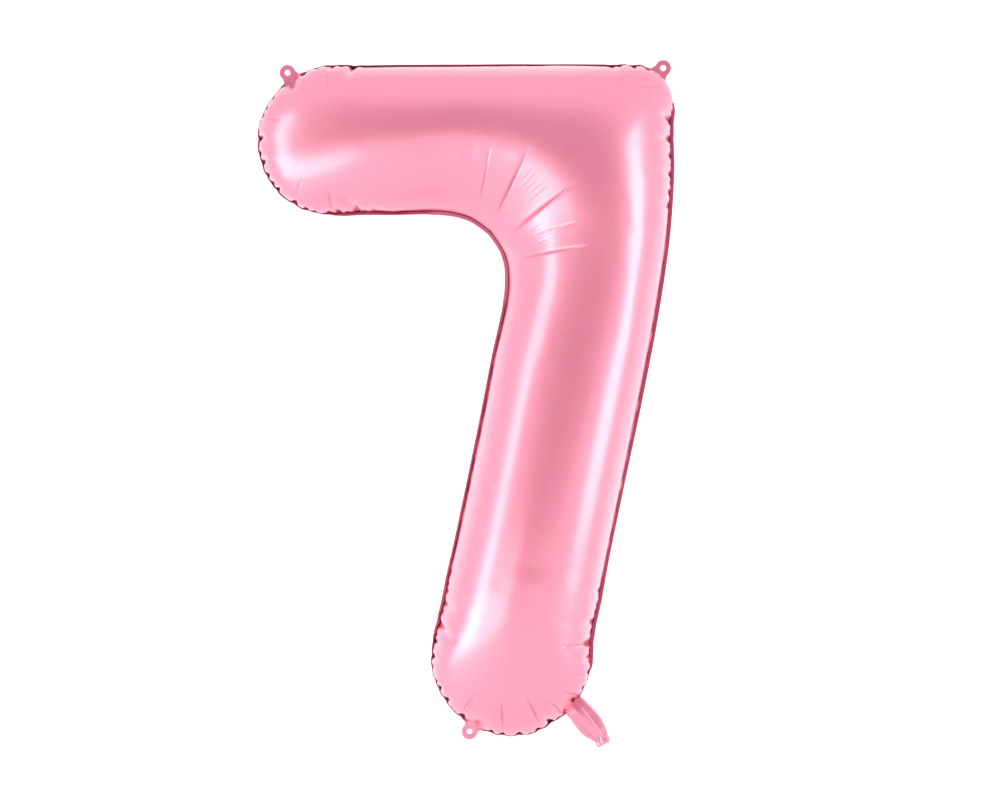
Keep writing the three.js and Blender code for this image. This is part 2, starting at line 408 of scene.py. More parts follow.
def rim_lean(loop):
    """How far the welded rim leans forward at each point of the outline, before it puckers."""
    calm = smooth_loop(loop, reach_in(loop, OUTLINE_REACH))
    out = outward(calm)
    ahead = np.roll(out, -1, axis=0)
    spacing = closed_length(calm)[-1] / len(calm)
    turning = (out[:, 1] * ahead[:, 0] - out[:, 0] * ahead[:, 1]) / spacing
    turning = smooth_loop(turning[:, None], reach_in(loop, TURNING_REACH))[:, 0]
    lean = SIDE_LEAN + (TOP_LEAN - SIDE_LEAN) * smoothstep(*FACING, out[:, 1])
    lean += (RIGHT_LEAN - SIDE_LEAN) * smoothstep(*FACING, out[:, 0])
    lean += (CAP_LEAN - lean) * smoothstep(*CAP_TURNING, turning)
    lean += (CORNER_LEAN - lean) * smoothstep(*CORNER_TURNING, turning)
    lean += (INNER_LEAN - lean) * smoothstep(*INNER_TURNING, turning)
    for joint in frame["joints"]:
        far = np.linalg.norm(loop - np.array(joint["pos_m"])[[0, 2]], axis=1)
        lean *= smoothstep(*FLAT_NEAR_TAB, far)
    return smooth_loop(lean[:, None], reach_in(loop, LEAN_REACH))[:, 0]


outline = rounded_loop(rim_loop(frame["nodes"]["front_panel"]), OUTLINE_STEP)
lean_goal = rim_lean(outline)
seam_goal = outline - outward(outline) * (SEAM_WIDTH * np.cos(lean_goal))[:, None]
flat, triangles, rim_count, place = make_panel_film(seam_goal)


# ---- wrinkles evened out ---------------------------------
EVEN_CELL = 3.0 * MM  # cells of the averaging
EVEN_FADE = 24.0 * MM  # length of a stretch's soft ends
STRETCHES = (
    # in millimetres: start and end beside the seam, clockwise; the depths from the seam at which
    # the averaging starts to fade and is gone; how far along the stretch it reaches
    ((-130, 0), (150, 0), 50, 95, 27),
    ((214, -175), (160, -585), 95, 130, 27),
    ((211, -205), (160, -585), 165, 215, 42),
    ((-33, -575), (16, -345), 90, 135, 32),
)
BESIDE_STRETCH = 0.85  # how squarely the seam faces out beside a stretch
PAST_SEAM = (-8.0 * MM, -2.0 * MM)  # depths between which the averaging sets in
RIM_REACH = 14.0 * MM  # how far along the seam itself is averaged
CROOK_TURN = (-26.0, 106.0)  # degrees round the crook, between which its film is evened out
CROOK_FADE = 16.0  # degrees of its soft ends
CROOK_REACH = 9.0  # degrees that the averaging reaches
CROOK_CELL = 1.5  # degrees of a cell
CROOK_SHARE = 0.88
CROOK_DEPTH = (260.0 * MM, 190.0 * MM)  # distances from the crook's centre: none, and all of it


def blurred(grid, reach):
    """A grid's cells blurred along its first axis, as sums that still hold their weights."""
    cells = min(int(3 * reach) + 1, len(grid) - 1)
    total = np.zeros_like(grid)
    for shift in range(-cells, cells + 1):
        low, high = max(0, shift), len(grid) + min(0, shift)
        total[low:high] += math.exp(-0.5 * (shift / reach) ** 2) * grid[low - shift:high - shift]
    return total


def mean_difference(offset, along, depth, cell, reach):
    """What a running mean along lines of one depth would change, at each point."""
    row, column = (along - along.min()) / cell, np.clip(depth, 0.0, None) / EVEN_CELL
    shape = (int(row.max()) + 2, int(column.max()) + 2)
    r, k = row.astype(int), column.astype(int)
    corners = []
    for i in (0, 1):
        for j in (0, 1):
            weight = np.abs(1 - i - (row - r)) * np.abs(1 - j - (column - k))
            corners.append(((r + i) * shape[1] + k + j, weight))
    grid = np.zeros((shape[0] * shape[1], 4))
    for spot, weight in corners:
        for n in range(4):
            values = weight * offset[:, n] if n < 3 else weight
            grid[:, n] += np.bincount(spot, values, len(grid))
    smooth = blurred(grid.reshape(*shape, 4), reach / cell)
    smooth = (smooth[..., :3] / np.maximum(smooth[..., 3:], 1e-9)).reshape(-1, 3)
    return sum(weight[:, None] * smooth[spot] for spot, weight in corners) - offset


def even_out(flat, place, rim_count):
    """Wrinkles evened out along the straight stretches of the tubes, and partly round the crook."""
    rim = np.arange(len(place)) < rim_count
    for start, end, full, none, reach in STRETCHES:
        start, end = np.array(start) * MM, np.array(end) * MM
        span = np.linalg.norm(end - start)
        along = (end - start) / span
        across = np.array([-along[1], along[0]])
        s, c = (flat - start) @ along, flat @ across
        out = outward(smooth_loop(flat[:rim_count], 4))
        beside = np.flatnonzero(out @ across > BESIDE_STRETCH)
        beside = beside[np.argsort(s[beside])]
        depth = np.interp(s, s[beside], c[beside]) - c
        share = smoothstep(-EVEN_FADE, 0.0, s) * smoothstep(span + EVEN_FADE, span, s)
        share *= smoothstep(none * MM, full * MM, depth) * smoothstep(*PAST_SEAM, depth)
        offset = place - np.insert(flat, 1, 0.0, axis=1)
        on_seam = rim & (np.abs(depth) < EVEN_CELL)
        for group, width in ((on_seam, RIM_REACH), (~rim, reach * MM)):
            change = mean_difference(offset[group], s[group], depth[group], EVEN_CELL, width)
            place[group] += share[group, None] * change
    spoke = flat - HOLLOW_CENTRE
    radius = np.linalg.norm(spoke, axis=1)
    turn = np.degrees(np.arctan2(spoke[:, 1], spoke[:, 0]))
    out = spoke / radius[:, None]
    side = np.stack([-spoke[:, 1], spoke[:, 0]], axis=1) / radius[:, None]
    shift = place[:, [0, 2]] - flat
    offset = np.stack([(shift * out).sum(axis=1), place[:, 1], (shift * side).sum(axis=1)], axis=1)
    share = CROOK_SHARE * smoothstep(CROOK_TURN[0], CROOK_TURN[0] + CROOK_FADE, turn)
    share *= smoothstep(CROOK_TURN[1], CROOK_TURN[1] - CROOK_FADE, turn)
    share *= smoothstep(*CROOK_DEPTH, radius)
    low, high = CROOK_TURN[0] - 3 * CROOK_REACH, CROOK_TURN[1] + 3 * CROOK_REACH
    group = ~rim & (turn > low) & (turn < high)
    change = mean_difference(offset[group], turn[group], radius[group], CROOK_CELL, CROOK_REACH)
    change *= share[group, None]
    place[group, 1] += change[:, 1]
    place[np.ix_(group, [0, 2])] += change[:, :1] * out[group] + change[:, 2:] * side[group]
    place[:rim_count, 1] = 0.0
    return place


SOFTEN_PASSES = 4
SOFTEN_SHARE = 0.7
SOFTEN_DEPTH = (12.0 * MM, 35.0 * MM)  # from the seam's plane: not at all, and all of it


def soften(place, triangles, rim_count):
    """The swollen part of the film with its finest unevenness smoothed away."""
    edges, _ = film_edges(triangles)
    count = len(place)
    number = np.bincount(edges.ravel(), minlength=count)[:, None]
    share = SOFTEN_SHARE * smoothstep(*SOFTEN_DEPTH, -place[:, 1])[:, None]
    share[:rim_count] = 0.0
    for _ in range(SOFTEN_PASSES):
        total = np.stack([np.bincount(edges[:, 0], place[edges[:, 1], k], count)
                          + np.bincount(edges[:, 1], place[edges[:, 0], k], count)
                          for k in range(3)], axis=1)
        place = place + share * (total / number - place)
    return place


# ---- creases pressed into the film -----------------------
CREASE_WIDTH = 1.0 * MM  # from its bottom, where a crease has lost most of its depth
CREASE_REACH = 5.0 * MM  # the mesh is made finer this close to a crease,
CREASE_SPLITS = 2  # this often
CREASE_END = 0.8  # power of the fade to the ends: smaller is blunter
CREASE_LINE = 0.8 * MM  # half width of the painted shade line at the bottom of a sharp fold
DEEP_CREASE = 2.2 * MM  # from this depth on the line is fully dark
CREASE_SHADE = 0.75  # how dark that is
RIPPLE_SLIP = 3.0  # millimetres that fine ripples are shifted along, in and out


# Creases and sets of fine ripples round each centre. Turns are degrees round it, and reaches and
# depths are millimetres. A crease: turn and reach of its inner end, of its outer end, and depth.
# Ripples: first and last turn, inner and outer reach, how many, and depth.
FOLDS = (
    # five folds fan out of the crook
    (HOLLOW_CENTRE,
     ((62.6, 104, 68.7, 163, 1.6), (49.2, 99, 55.9, 184, 2.8), (34.8, 98, 35.8, 189, 2.8),
      (26.4, 122, 23.2, 170, 0.8), (17.4, 98, 13.4, 175, 2.2)),
     ((78, 66, 122, 152, 6, 0.22), (50, 41, 140, 172, 5, 0.25), (30, 20, 118, 142, 6, 0.2))),
    (FOOT_CENTRE,
     ((225.7, 60, 229.6, 88, 1.8), (229.5, 64, 232.5, 84, 0.8), (256.8, 52, 264.0, 90, 2.0),
      (289.5, 50, 292.4, 90, 2.2), (309.6, 66, 310.7, 92, 2.0), (325.0, 70, 327.4, 96, 1.6),
      (-17.1, 68, -16.5, 95, 0.9), (11.4, 58, 6.0, 96, 1.4)),
     ((236, 284, 54, 74, 13, 0.6), (293, 306, 58, 78, 5, 0.65), (-12, 8, 66, 84, 8, 0.6),
      (196, 212, 70, 86, 5, 0.4))),
    (ARM_CENTRE,
     ((161, 64, 163, 82, 0.8), (233, 58, 235, 82, 0.9), (263, 56, 269, 84, 1.3),
      (96, 60, 95, 82, 0.9)),
     ((248, 266, 56, 80, 7, 0.45), (130, 118, 62, 82, 4, 0.6))),
    (SHOULDER_CENTRE, ((120, 12, 25, 32, 0.8),), ()),
)


def creases():
    """Each crease and ripple as its two ends (x, z) and its depth."""
    found = []
    for centre, sharp, rippled in FOLDS:
        lines = list(sharp)
        for turn_a, turn_b, reach_a, reach_b, count, depth in rippled:
            for k in range(count):
                turn = turn_a + (turn_b - turn_a) * k / max(count - 1, 1)
                slip = RIPPLE_SLIP * math.sin(2.4 * k)
                lines.append((turn, reach_a + slip, turn, reach_b + slip,
                              depth * (0.75 + 0.25 * math.cos(1.7 * k))))
        for turn_a, reach_a, turn_b, reach_b, depth in lines:
            ends = []
            for turn, reach in ((math.radians(turn_a), reach_a), (math.radians(turn_b), reach_b)):
                ends.append(centre + reach * MM * np.array([math.cos(turn), math.sin(turn)]))
            found.append((*ends, depth * MM))
    return found


def crease_distance(points, crease):
    """How far (x, z) points are from a crease, and how far along it they are, from 0 to 1."""
    start, end, _ = crease
    span = end - start
    along = np.clip((points - start) @ span / (span @ span), 0.0, 1.0)
    return np.linalg.norm(points - (start + along[:, None] * span), axis=1), along


def split_marked(place, triangles, marked):
    """The marked triangles cut in four, and their neighbours cut to fit. The rim stays whole."""
    edges, _ = film_edges(triangles)
    count = len(place)
    edge_of = edge_finder(edges, count)
    a, b, c = triangles.T
    sides = np.stack([edge_of(a, b), edge_of(b, c), edge_of(c, a)], axis=1)
    use = np.bincount(sides.ravel(), minlength=len(edges))
    cut = np.zeros(len(edges), bool)
    cut[sides[marked].ravel()] = True
    cut &= use == 2
    middle = np.full(len(edges), -1)
    middle[cut] = count + np.arange(cut.sum())
    points = np.vstack([place, place[edges[cut]].mean(axis=1)])
    flags = cut[sides]
    number = flags.sum(axis=1)
    parts = [triangles[number == 0]]
    whole = number == 3
    a, b, c = triangles[whole].T
    ab, bc, ca = middle[sides[whole]].T
    parts += [np.stack(t, axis=1) for t in ((a, ab, ca), (ab, b, bc), (ca, bc, c), (ab, bc, ca))]
    for turn in range(3):
        corners, around = np.roll(triangles, -turn, axis=1), np.roll(sides, -turn, axis=1)
        flag = np.roll(flags, -turn, axis=1)
        one = (number == 1) & flag[:, 0]
        a, b, c = corners[one].T
        ab = middle[around[one, 0]]
        parts += [np.stack(t, axis=1) for t in ((a, ab, c), (ab, b, c))]
        two = (number == 2) & flag[:, 0] & flag[:, 1]
        a, b, c = corners[two].T
        ab, bc = middle[around[two, 0]], middle[around[two, 1]]
        parts += [np.stack(t, axis=1) for t in ((ab, b, bc), (a, ab, bc), (a, bc, c))]
    return points, np.vstack(parts)


def press_creases(place, triangles, lines):
    """The film with its creases, its triangles, finer along them, and its painted crease shade."""
    for _ in range(CREASE_SPLITS):
        middles = place[triangles][:, :, [0, 2]].mean(axis=1)
        marked = np.zeros(len(triangles), bool)
        for line in lines:
            marked |= crease_distance(middles, line)[0] < CREASE_REACH
        place, triangles = split_marked(place, triangles, marked)
    depth, painted_fold_shade = np.zeros(len(place)), np.zeros(len(place))
    for line in lines:
        gap, along = crease_distance(place[:, [0, 2]], line)
        fade = np.sin(along * math.pi) ** CREASE_END
        depth += line[2] * fade * np.exp(-gap / CREASE_WIDTH)
        # painted shade: a dark line along each crease's bottom, fuller for deeper creases
        sharp = min(1.0, line[2] / DEEP_CREASE) * fade * np.exp(-(gap / CREASE_LINE) ** 2)
        painted_fold_shade = np.maximum(painted_fold_shade, sharp)
    return place - normals_of(place, triangles) * depth[:, None], triangles, painted_fold_shade


def shell(points, faces, thickness):
    """A surface given a thickness against its normals, and closed along its open edges."""
    faces = [tuple(int(k) for k in f) for f in faces]
    halves = [[f] if len(f) == 3 else [f[:3], (f[0], f[2], f[3])] for f in faces]
    triangles = np.array([triangle for half in halves for triangle in half])
    count = len(points)
    inner = points - normals_of(points, triangles) * thickness
    sides = {side: None for f in faces for side in zip(f, f[1:] + f[:1])}
    walls = [(b, a, a + count, b + count) for a, b in sides if (b, a) not in sides]
    back = [tuple(k + count for k in reversed(f)) for f in faces]
    return np.vstack([points, inner]), faces + back + walls


CALM_REACH = 14.0 * MM  # average of the seam's course that its puckers stand out from
PUCKER_LEAN = math.radians(14)  # less lean for each millimetre that a pucker stands out
PUCKERED = (math.radians(20), math.radians(50))  # leans of a rim that lies calm, and that puckers
MOST_LEAN = math.radians(84)
RIM_SHADE_LEANS = (math.radians(8), math.radians(45))  # leans of least and most painted shade
LEAST_RIM_SHADE = 0.3  # share of painted shade, a dark reflection, on a rim that leans little,
RIGHT_RIM_SHADE = 0.9  # on the rim that faces right,
SEAM_LINE_SHADE = 0.6  # and on the seam's line, of its rim's own painted shade


def panel_mesh(name, side):
    """One film panel: the dome, and its layer of the welded rim. side is -1 in front, 1 behind."""
    dome = film.copy()
    dome[:, 1] *= -side
    seam = film[:rim_count, [0, 2]]
    calm = smooth_loop(seam, reach_in(seam, CALM_REACH))
    out = outward(calm)
    wave = smooth_loop(((seam - calm) * out).sum(axis=1)[:, None], 1)[:, 0]
    lean = lean_goal[nearest_on(outline, seam)]
    puckered = smoothstep(*PUCKERED, lean)
    lean = np.clip(lean - puckered * wave / MM * PUCKER_LEAN, 0.0, MOST_LEAN)
    cos, sin = np.cos(lean), np.sin(lean)
    leaning = np.stack([out[:, 0] * cos, -sin, out[:, 1] * cos], axis=1)
    facing = np.stack([-out[:, 0] * sin, -cos, -out[:, 1] * sin], axis=1)
    dome[:, 1] += side * LAYER_GAP
    start = np.insert(seam, 1, 0.0, axis=1)
    rows = [dome]
    faces = [tuple(t) for t in (film_faces if side < 0 else film_faces[:, ::-1])]
    previous = np.arange(rim_count)
    count = len(dome)
    for row in range(1, RIM_ROWS + 1):
        share = row / RIM_ROWS
        rows.append(start + leaning * SEAM_WIDTH * share - facing * side * LAYER_GAP)
        now = count + np.arange(rim_count)
        quads = zip(previous, now, np.roll(now, -1), np.roll(previous, -1))
        faces += [quad if side < 0 else quad[::-1] for quad in quads]
        previous = now
        count += rim_count
    # painted shade: the rim's colour darkens to maroon as it leans and where it faces right
    shade = LEAST_RIM_SHADE + 0.7 * smoothstep(*RIM_SHADE_LEANS, lean)
    shade = np.maximum(shade, RIGHT_RIM_SHADE * smoothstep(0.6, 0.9, out[:, 0]))
    painted_shade = np.zeros(count)
    # painted shade along the creases of the dome
    painted_shade[:len(dome)] = CREASE_SHADE * film_fold_shade
    painted_shade[:rim_count] = SEAM_LINE_SHADE * shade
    painted_shade[len(dome):] = np.tile(shade, RIM_ROWS)
    points, faces = shell(np.vstack(rows), faces, FILM_THICK)
    piece = new_object(name, points, faces)
    point_attribute(piece, "painted_shade", np.tile(painted_shade, 2))
    return piece


# ---- tabs ------------------------------------------------
TAB_HALF_THICK = 0.42 * MM
TAB_ANGLES = 120
TAB_ROWS = 12
TAB_ROUNDING = 7  # power of the edges' rounding: higher is tighter
TUCK = 6.5 * MM  # how far a tab or the tail reaches in over the welded rim
TUCK_FROM = (4.0 * MM, 0.5 * MM)  # distances out from the hinge between which a neck tucks in
NECK_TURN = 1.6  # radians from straight out, beyond which the outline is the neck
NECK_FLARE = 0.12
CRIMPED = (1.0 * MM, -5.0 * MM)  # distances out from the hinge: flat, and fully crimped
CRIMP_CENTRE = 18.0 * MM  # how far inside the hinge the crimps fan out from
CRIMP_PITCH = math.radians(7.5)  # of the fan, for each radian of the crimps' wave
TAB_BEND = (-1.5 * MM, 3.0 * MM)  # distances out from the hinge of two points that nothing uses


def face_loops(node):
    """The closed outlines of a flat CAD piece's front face, in (x, z), longest first."""
    mesh = node.data
    points = np.array([v.co for v in mesh.vertices])
    front = points[:, 1].min() + 0.01 * MM
    ahead = {}
    for face in mesh.polygons:
        ring = [tuple(np.round(points[k][[0, 2]], 6)) for k in face.vertices]
        if face.normal.y > -0.9 or points[list(face.vertices), 1].max() > front:
            continue
        for a, b in zip(ring, ring[1:] + ring[:1]):
            if (b, a) in ahead:
                del ahead[(b, a)]
            else:
                ahead[(a, b)] = True
    step = dict(ahead.keys())
    loops = []
    while step:
        start, here = step.popitem()
        loop = [start]
        while here != start:
            loop.append(here)
            here = step.pop(here)
        loops.append(np.array(loop))
    return sorted(loops, key=lambda loop: -closed_length(loop)[-1])


def hinge_axes(node, joint_name):
    """The hinge's point, the direction out of the balloon, and the direction along the hinge."""
    joint = next(j for j in frame["joints"] if j["name"] == joint_name)
    root = np.array(joint["pos_m"])[[0, 2]]
    along = np.array(joint["axis"])[[0, 2]]
    along /= np.linalg.norm(along)
    out = np.array([-along[1], along[0]])
    low, high = (np.array(corner)[[0, 2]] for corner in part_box(node))
    if out @ ((low + high) / 2 - root) < 0:
        out, along = -out, -along
    return root, out, along


def flat_outline(node_name, root, out, along):
    """A flat CAD piece's outline, as distances out from a hinge and along it."""
    loop = face_loops(frame["nodes"][node_name])[0] - root
    return np.stack([loop @ out, loop @ along], axis=1)


def add_tab(name):
    """A hanging tab: a flat ring whose neck flares into the rim, crimped where it does."""
    root, out, along = hinge_axes(name, name + "_bend")
    outer, hole = face_loops(frame["nodes"][name])[:2]
    middle = hole.mean(axis=0)
    hole_radius = np.linalg.norm(hole - middle, axis=1).mean()
    spokes = outer - middle
    angle = np.arctan2(spokes @ along, spokes @ out)
    order = np.argsort(angle)
    turn = np.arange(TAB_ANGLES) / TAB_ANGLES * 2 * math.pi - math.pi
    reach = np.interp(turn, angle[order], np.linalg.norm(spokes, axis=1)[order], period=2 * math.pi)
    centre_out = (middle - root) @ out
    edge = np.stack([centre_out + reach * np.cos(turn), reach * np.sin(turn)], axis=1)
    inner = np.stack([centre_out + hole_radius * np.cos(turn), hole_radius * np.sin(turn)], axis=1)
    tucked = smoothstep(*TUCK_FROM, edge[:, 0]) * (np.abs(turn) > NECK_TURN)
    edge[:, 0] -= TUCK * tucked
    edge[:, 1] *= 1.0 + NECK_FLARE * tucked
    points = []
    for side in (-1, 1):
        for row in range(TAB_ROWS + 1):
            share = row / TAB_ROWS
            spot = inner + (edge - inner) * share
            rounding = np.sqrt(np.clip(1.0 - abs(2 * share - 1) ** TAB_ROUNDING, 0.0, 1.0))
            depth = np.full(TAB_ANGLES, TAB_HALF_THICK * rounding)
            root_share = smoothstep(*CRIMPED, spot[:, 0])
            fan = np.arctan2(spot[:, 1], spot[:, 0] + CRIMP_CENTRE)
            crimp = np.cos(fan / CRIMP_PITCH + 0.9 * side)
            depth += rounding * root_share * (0.35 + 0.45 * crimp) * MM
            depth += rounding * 0.25 * MM * smoothstep(5.0 * MM, 0.0, spot[:, 0])
            place_xz = root + spot[:, :1] * out + spot[:, 1:] * along
            points.append(np.stack([place_xz[:, 0], side * depth, place_xz[:, 1]], axis=1))
    faces = []
    per_side = (TAB_ROWS + 1) * TAB_ANGLES
    for side in range(2):
        for row in range(TAB_ROWS):
            ring = side * per_side + row * TAB_ANGLES + np.arange(TAB_ANGLES)
            wider = ring + TAB_ANGLES
            quads = zip(ring, np.roll(ring, -1), np.roll(wider, -1), wider)
            faces += [quad if side == 0 else quad[::-1] for quad in quads]
    points = np.vstack(points)
    # the two sides share the rounded edges of the hole and of the outline
    joined = np.arange(len(points))
    for start in (0, TAB_ROWS * TAB_ANGLES):
        ring = np.arange(start, start + TAB_ANGLES)
        joined[per_side + ring] = ring
    faces = [tuple(int(joined[k]) for k in f) for f in faces]
    piece = new_object(name + "_film", points, faces)
    clean_up(piece)
    piece.data.materials.append(tab_foil)
    start, end = (in_frame(root + reach * out) for reach in TAB_BEND)
    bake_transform(piece)
    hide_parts(name)


def clean_up(piece):
    """Loose points dropped, and every face turned outward."""
    mesh = bmesh.new()
    mesh.from_mesh(piece.data)
    bmesh.ops.delete(mesh, geom=[v for v in mesh.verts if not v.link_faces], context="VERTS")
    bmesh.ops.recalc_face_normals(mesh, faces=mesh.faces)
    mesh.to_mesh(piece.data)
    mesh.free()


# ---- tail ------------------------------------------------
TAIL_ROWS = 84
TAIL_COLUMNS = 36
TAIL_FILM_THICK = 0.12 * MM
TAIL_TUCK_ROWS = 6  # rows of the tail over which it comes out from under the rim
MOUTH_ROWS = 40
MOUTH_COLUMNS = 10
MOUTH_FILM_THICK = 0.05 * MM


def width_at(loop, out_at):
    """The lowest and highest position across a closed (out, along) loop, at a distance out."""
    crossings = []
    for a, b in zip(loop, np.roll(loop, -1, axis=0)):
        if (a[0] - out_at) * (b[0] - out_at) <= 0 and a[0] != b[0]:
            crossings.append(a[1] + (b[1] - a[1]) * (out_at - a[0]) / (b[0] - a[0]))
    return (min(crossings), max(crossings)) if crossings else (0.0, 0.0)


def soft_film(name, rows, side, thickness, material):
    """A film from rows of points, facing its side: -1 in front, 1 behind."""
    wide = len(rows[0])
    faces = [(a, a + 1, a + wide + 1, a + wide) for row in range(len(rows) - 1)
             for a in range(row * wide, (row + 1) * wide - 1)]
    points = np.vstack(rows)
    if normals_of(points, np.array([f[:3] for f in faces]))[:, 1].mean() * side < 0:
        faces = [f[::-1] for f in faces]
    points, faces = shell(points, faces, thickness)
    piece = new_object(name + "_soft", points, faces)
    piece.data.materials.append(material)
    return piece


def add_tail_films():
    """The tail: two soft films joined along their sides, creased, with a rolled end."""
    root, out, along = hinge_axes("tail_front_film", "tail_bend")
    loop = flat_outline("tail_front_film", root, out, along)
    near, far = loop[:, 0].min(), loop[:, 0].max()
    length = far - near
    bead_at, bead_width = far - 4.5 * MM, 3.6 * MM
    neck_at, neck_width = far - 11.5 * MM, 3.0 * MM
    for name, side in (("tail_front_film", -1), ("tail_back_film", 1)):
        points = []
        for row in range(TAIL_ROWS + 1):
            share = math.sin(row / TAIL_ROWS * math.pi / 2)
            at = near + length * share * 0.9995
            low, high = width_at(loop, at + 1e-7)
            tucked = 1.0 - min(1.0, row / TAIL_TUCK_ROWS)
            at -= TUCK * tucked
            across = np.sin(np.linspace(-1.0, 1.0, TAIL_COLUMNS + 1) * math.pi / 2)
            spot = (low + high) / 2 + (high - low) / 2 * across
            dome = np.clip(1.0 - across ** 2, 0.0, 1.0) ** 0.6
            bead = math.exp(-((bead_at - at) / bead_width) ** 2)
            neck = math.exp(-((neck_at - at) / neck_width) ** 2)
            # in millimetres: the swell, then two sets of waves and two sharp folds
            puff = 3.0 * (1 - share) + 1.3
            folds = (0.55 * np.cos(5.2 * across + 2.6 * share + 0.8 * side)
                     + 0.3 * np.cos(11.0 * across - 5.0 * share + 1.9 * side)
                     - 0.9 * np.exp(-((across - 0.25 - 0.5 * share) / 0.09) ** 2)
                     - 0.7 * np.exp(-((across + 0.45 - 0.25 * share) / 0.07) ** 2))
            depth = dome * (puff * (1 - 0.45 * neck) + folds * (0.9 - 0.5 * bead) + 1.7 * bead)
            depth *= 1.0 - 0.75 * tucked
            depth = np.maximum(depth, 0.25 * dome) + 0.5
            spot_xz = root + at * out + spot[:, None] * along
            points.append(np.stack([spot_xz[:, 0], side * depth * MM, spot_xz[:, 1]], axis=1))
        piece = soft_film(name, points, side, TAIL_FILM_THICK, tab_foil)
        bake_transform(piece)
        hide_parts(name)


def add_valve_mouth():
    """The two clear films of the filling valve, inside the tail."""
    root, out, along = hinge_axes("tail_front_film", "tail_bend")
    for name, side in (("valve_mouth_front_film", -1), ("valve_mouth_back_film", 1)):
        loop = flat_outline(name, root, out, along)
        near, far = loop[:, 0].min(), loop[:, 0].max()
        points = []
        for row in range(MOUTH_ROWS + 1):
            at = near + (far - near) * (row / MOUTH_ROWS * 0.998 + 0.001)
            low, high = width_at(loop, at)
            across = np.linspace(low, high, MOUTH_COLUMNS + 1)
            spot = root + at * out + across[:, None] * along
            ripple = 0.06 * np.cos(across / (2.2 * MM) + row * 0.25)
            points.append(np.stack([spot[:, 0], side * (0.24 + ripple) * MM, spot[:, 1]], axis=1))
        piece = soft_film(name, points, side, MOUTH_FILM_THICK, valve_film)
        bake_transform(piece)
        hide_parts(name)


# ---- materials -------------------------------------------
def node(tree, kind, **settings):
    """A new shader node with its settings."""
    made = tree.nodes.new(kind)
    for key, value in settings.items():
        setattr(made, key, value)
    return made


def noise(tree, scale, detail=2.0):
    """A soft noise over the object, about 0.5."""
    coordinates = node(tree, "ShaderNodeTexCoord")
    made = node(tree, "ShaderNodeTexNoise")
    made.inputs["Scale"].default_value = scale
    made.inputs["Detail"].default_value = detail
    tree.links.new(coordinates.outputs["Object"], made.inputs["Vector"])
    return made.outputs["Fac"]


def ramp(tree, value, low, high):
    """Two colours blended by a value."""
    made = node(tree, "ShaderNodeMix", data_type="RGBA")
    tree.links.new(value, made.inputs["Factor"])
    made.inputs["A"].default_value = (*low, 1.0)
    made.inputs["B"].default_value = (*high, 1.0)
    return made


def spread(tree, value, low, high, start=0.0, end=1.0, **settings):
    """A value from start to end, moved to lie from low to high."""
    made = node(tree, "ShaderNodeMapRange", **settings)
    tree.links.new(value, made.inputs["Value"])
    for key, number in (("From Min", start), ("From Max", end), ("To Min", low), ("To Max", high)):
        made.inputs[key].default_value = number
    return made.outputs["Result"]


def y_of(tree, kind):
    """The y of a kind of texture coordinate."""
    coordinates = node(tree, "ShaderNodeTexCoord")
    parts = node(tree, "ShaderNodeSeparateXYZ")
    tree.links.new(coordinates.outputs[kind], parts.inputs[0])
    return parts.outputs["Y"]


def new_material(name):
    """A material, its node tree and its shader."""
    material = bpy.data.materials.new(name)
    material.use_nodes = True
    return material, material.node_tree, material.node_tree.nodes["Principled BSDF"]


def foil_material(name, pale, deep, painted_shade):
    """Satin metallic foil: pale to deep is its slight unevenness, the last colour painted shade."""
    material, tree, shader = new_material(name)
    body = ramp(tree, noise(tree, 9.0), pale, deep)
    # painted shade: an attribute of the mesh blends in a dark maroon on the rim and the creases
    rim = node(tree, "ShaderNodeAttribute", attribute_name="painted_shade")
    color = node(tree, "ShaderNodeMix", data_type="RGBA")
    tree.links.new(rim.outputs["Fac"], color.inputs["Factor"])
    tree.links.new(body.outputs["Result"], color.inputs["A"])
    color.inputs["B"].default_value = (*painted_shade, 1.0)
    tree.links.new(color.outputs["Result"], shader.inputs["Base Color"])
    roughness = spread(tree, noise(tree, 35.0, 4.0), 0.25, 0.33)
    tree.links.new(roughness, shader.inputs["Roughness"])
    shader.inputs["Metallic"].default_value = 0.35
    shader.inputs["IOR"].default_value = 2.3
    shader.inputs["Coat Weight"].default_value = 0.6
    shader.inputs["Coat Roughness"].default_value = 0.16
    return material


def clear_film_material(name):
    """Milky clear film."""
    material, tree, shader = new_material(name)
    body = ramp(tree, noise(tree, 60.0), (0.86, 0.84, 0.85), (0.92, 0.9, 0.91))
    tree.links.new(body.outputs["Result"], shader.inputs["Base Color"])
    tree.links.new(spread(tree, noise(tree, 90.0), 0.25, 0.4), shader.inputs["Roughness"])
    shader.inputs["Transmission Weight"].default_value = 0.6
    shader.inputs["IOR"].default_value = 1.5
    return material


# painted shade: the deep maroon that stands in for the dark that the rim and creases reflect
PAINTED_SHADE_COLOR = (0.46, 0.035, 0.12)
foil = foil_material("foil", (1.0, 0.285, 0.45), (0.96, 0.26, 0.42), PAINTED_SHADE_COLOR)
tab_foil = foil_material("foil_tab", (1.0, 0.28, 0.46), (0.95, 0.24, 0.41), PAINTED_SHADE_COLOR)
valve_film = clear_film_material("valve_film")

# ---- the pieces ------------------------------------------
place = soften(even_out(flat, place, rim_count), triangles, rim_count)
film, film_faces, film_fold_shade = press_creases(place, triangles, creases())
for name, side, node_name in (("front_film", -1, "front_panel"), ("back_film", 1, "back_panel")):
    piece = panel_mesh(name, side)
    piece.data.materials.append(foil)
    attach(piece, "envelope")
    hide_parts(node_name)

for name in ("tab_upper_left", "tab_upper_right", "tab_lower"):
    add_tab(name)
add_tail_films()
add_valve_mouth()
for name in ("valve_sleeve_front_film", "valve_sleeve_back_film"):
    sleeve = frame["nodes"][name]
    sleeve.data.materials.clear()
    sleeve.data.materials.append(valve_film)

# ---- stage: floor, light and camera ----------------------
scene = bpy.context.scene


